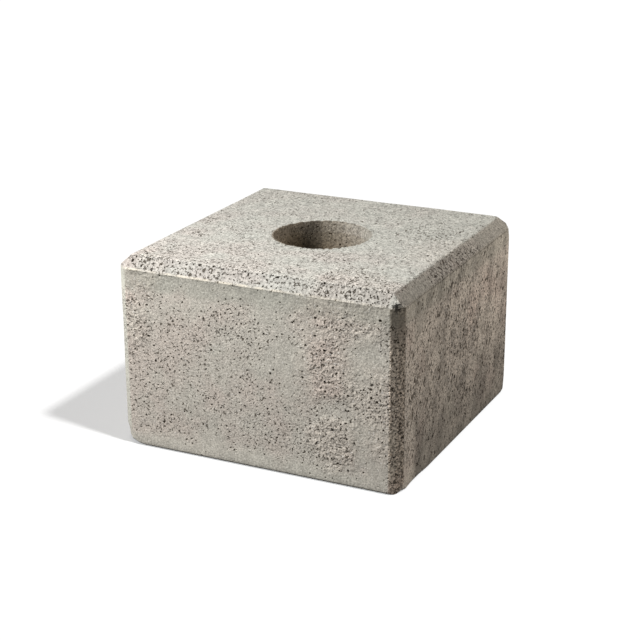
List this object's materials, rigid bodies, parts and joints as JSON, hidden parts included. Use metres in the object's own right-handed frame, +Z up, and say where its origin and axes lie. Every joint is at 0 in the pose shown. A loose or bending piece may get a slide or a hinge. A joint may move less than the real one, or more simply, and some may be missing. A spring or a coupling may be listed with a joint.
{
  "type": "precast concrete footing",
  "caption": "Square precast concrete footing block with chamfered top and upright edges and a round post hole straight down through its middle.",
  "frame": {"origin": "middle of the underside, on the axis of the post hole", "axes": "+Z up along the post hole, -Y out of the front face and +X out of the right face as the picture shows them"},
  "size_m": [0.3, 0.3, 0.195],
  "materials": {
    "concrete": "dry-pressed cement, matt and pitted"
  },
  "bodies": {
    "root": {"concrete_block": "concrete"}
  },
  "joints": []
}
